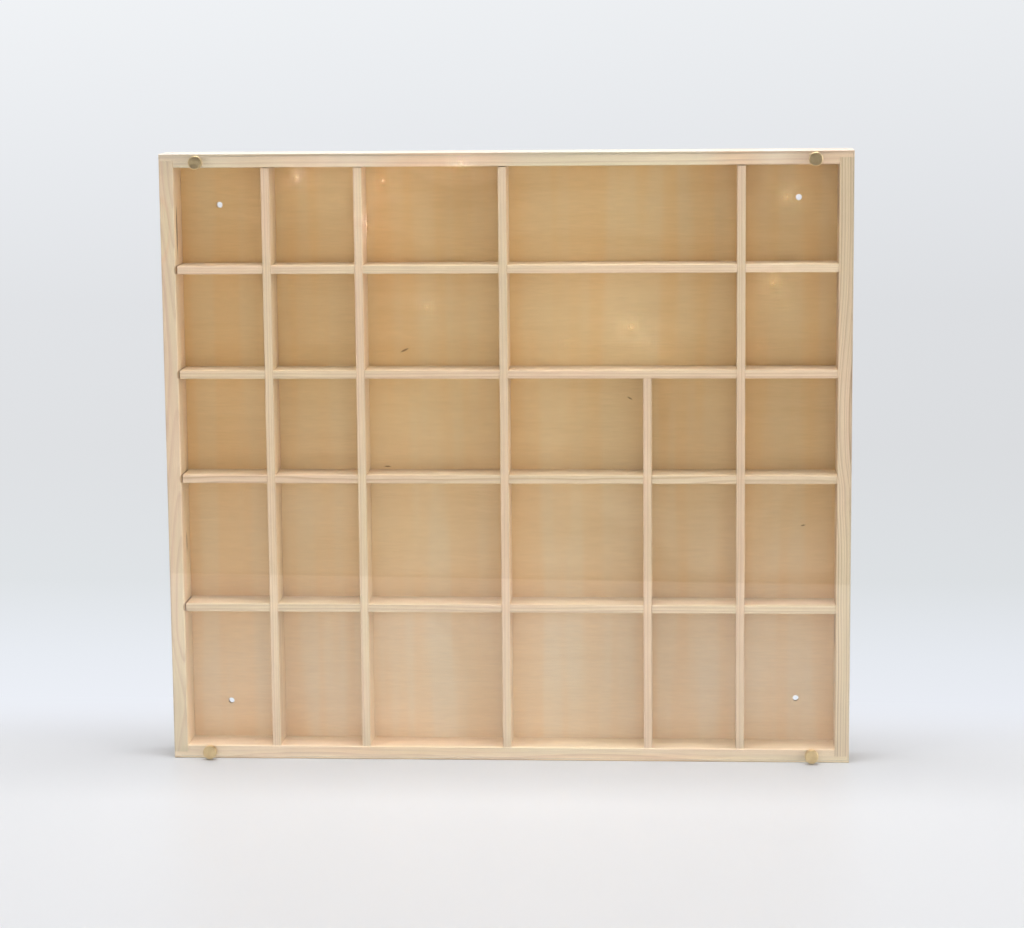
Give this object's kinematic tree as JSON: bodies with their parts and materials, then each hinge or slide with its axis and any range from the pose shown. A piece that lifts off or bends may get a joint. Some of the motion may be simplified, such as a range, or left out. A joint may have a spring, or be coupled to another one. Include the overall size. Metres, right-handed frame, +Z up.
{
  "type": "compartment display box",
  "caption": "Shallow wooden display box, divided into open compartments by halved shelves and uprights, with a clear removable front held by thumb screws.",
  "frame": {"origin": "middle of the base of the whole object, screw heads included", "axes": "+X to the right as seen from the front, +Y to the back, towards the wall, +Z up"},
  "size_m": [0.5, 0.0418, 0.448],
  "materials": {
    "pine": "planed, bare or thinly waxed pine",
    "divider_pine": "planed, bare thin pine",
    "plywood": "sanded plywood",
    "clear_acrylic": "clear cast acrylic with polished edges",
    "turned_brass": "turned and lacquered",
    "insert_brass": "plain turned",
    "nylon": "natural nylon",
    "pin_steel": "bright drawn wire"
  },
  "bodies": {
    "case": {"frame_top_rail": "pine", "frame_bottom_rail": "pine", "frame_left_rail": "pine", "frame_right_rail": "pine", "back_panel": "plywood", "shelf_1": "divider_pine", "shelf_2": "divider_pine", "shelf_3": "divider_pine", "shelf_4": "divider_pine", "tall_divider_1": "divider_pine", "tall_divider_2": "divider_pine", "tall_divider_3": "divider_pine", "tall_divider_4": "divider_pine", "short_divider": "divider_pine", "threaded_inserts": "insert_brass", "panel_pins": "pin_steel", "corner_pins": "pin_steel"},
    "cover": {"front_cover": "clear_acrylic"},
    "washer_top_left": {"washer_top_left": "nylon"},
    "screw_top_left": {"thumb_screw_top_left": "turned_brass"},
    "washer_top_right": {"washer_top_right": "nylon"},
    "screw_top_right": {"thumb_screw_top_right": "turned_brass"},
    "washer_bottom_left": {"washer_bottom_left": "nylon"},
    "screw_bottom_left": {"thumb_screw_bottom_left": "turned_brass"},
    "washer_bottom_right": {"washer_bottom_right": "nylon"},
    "screw_bottom_right": {"thumb_screw_bottom_right": "turned_brass"}
  },
  "joints": [
    {"name": "cover_lift_off", "type": "slide", "parent": "case", "child": "cover", "axis": [0, -1, 0], "range_m": [0, 0.08]},
    {"name": "travel_top_left", "type": "slide", "parent": "cover", "child": "washer_top_left", "axis": [0, -1, 0], "range_m": [0, 0.0065]},
    {"name": "turn_top_left", "type": "hinge", "parent": "washer_top_left", "child": "screw_top_left", "pos_m": [-0.2225, -0.01315, 0.442], "axis": [0, -1, 0], "range_deg": [0, 4680]},
    {"name": "travel_top_right", "type": "slide", "parent": "cover", "child": "washer_top_right", "axis": [0, -1, 0], "range_m": [0, 0.0065]},
    {"name": "turn_top_right", "type": "hinge", "parent": "washer_top_right", "child": "screw_top_right", "pos_m": [0.2225, -0.01315, 0.442], "axis": [0, -1, 0], "range_deg": [0, 4680]},
    {"name": "travel_bottom_left", "type": "slide", "parent": "cover", "child": "washer_bottom_left", "axis": [0, -1, 0], "range_m": [0, 0.0065]},
    {"name": "turn_bottom_left", "type": "hinge", "parent": "washer_bottom_left", "child": "screw_bottom_left", "pos_m": [-0.2225, -0.01315, 0.006], "axis": [0, -1, 0], "range_deg": [0, 4680]},
    {"name": "travel_bottom_right", "type": "slide", "parent": "cover", "child": "washer_bottom_right", "axis": [0, -1, 0], "range_m": [0, 0.0065]},
    {"name": "turn_bottom_right", "type": "hinge", "parent": "washer_bottom_right", "child": "screw_bottom_right", "pos_m": [0.2225, -0.01315, 0.006], "axis": [0, -1, 0], "range_deg": [0, 4680]}
  ],
  "couplings": [
    {"joint": "turn_top_left", "follows": "travel_top_left", "rad_per_m": 12566},
    {"joint": "turn_top_right", "follows": "travel_top_right", "rad_per_m": 12566},
    {"joint": "turn_bottom_left", "follows": "travel_bottom_left", "rad_per_m": 12566},
    {"joint": "turn_bottom_right", "follows": "travel_bottom_right", "rad_per_m": 12566}
  ]
}
